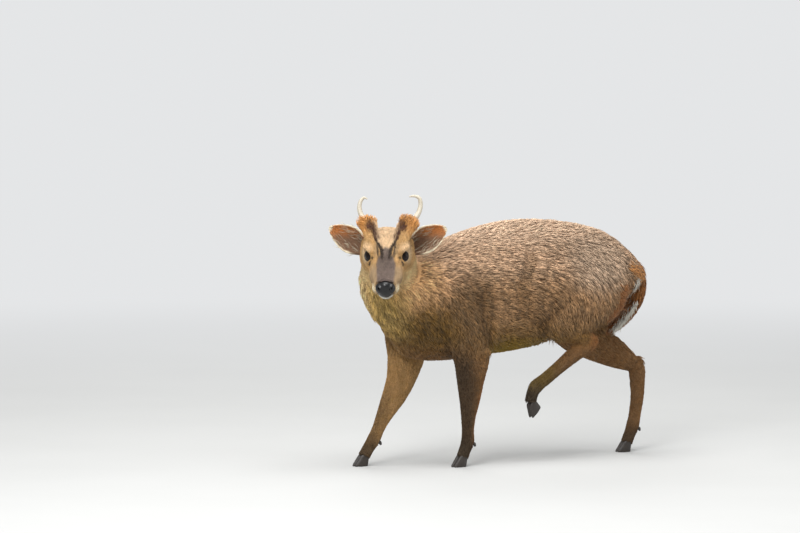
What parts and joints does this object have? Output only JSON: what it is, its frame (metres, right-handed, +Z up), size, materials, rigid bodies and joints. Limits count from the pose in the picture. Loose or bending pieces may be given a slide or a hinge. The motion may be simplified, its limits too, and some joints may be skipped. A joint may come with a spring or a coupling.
{
  "type": "muntjac",
  "caption": "Life-size still model of a walking muntjac buck, head turned to look sideways, with short hooked antlers on furred pedicles.",
  "frame": {"origin": "on the floor, under the middle of the animal's box", "axes": "+Z up; -X the way the body heads; -Y the animal's left, the way its head looks"},
  "size_m": [0.7342, 0.2522, 0.5441],
  "materials": {
    "coat": "short coarse coat, grizzled brown",
    "ear_coat": "thin short coat with pale rims",
    "bare_skin": "moist black bare skin",
    "eye": "wet, very glossy",
    "antler": "smooth ivory bone",
    "hoof": "dark horn, slightly worn"
  },
  "bodies": {
    "root": {"antler_left": "antler", "antler_right": "antler", "claw_fore_left_inner": "hoof", "claw_fore_left_outer": "hoof", "claw_fore_right_inner": "hoof", "claw_fore_right_outer": "hoof", "claw_hind_left_inner": "hoof", "claw_hind_left_outer": "hoof", "claw_hind_right_inner": "hoof", "claw_hind_right_outer": "hoof", "dewclaw_fore_left_inner": "hoof", "dewclaw_fore_left_outer": "hoof", "dewclaw_fore_right_inner": "hoof", "dewclaw_fore_right_outer": "hoof", "dewclaw_hind_left_inner": "hoof", "dewclaw_hind_left_outer": "hoof", "dewclaw_hind_right_inner": "hoof", "dewclaw_hind_right_outer": "hoof", "ear_left": "ear_coat", "ear_right": "ear_coat", "eye_left": "eye", "eye_right": "eye", "head": "coat", "leg_fore_left": "coat", "leg_fore_right": "coat", "leg_hind_left": "coat", "leg_hind_right": "coat", "neck": "coat", "nose": "bare_skin", "tail": "coat", "torso": "coat"}
  },
  "joints": []
}
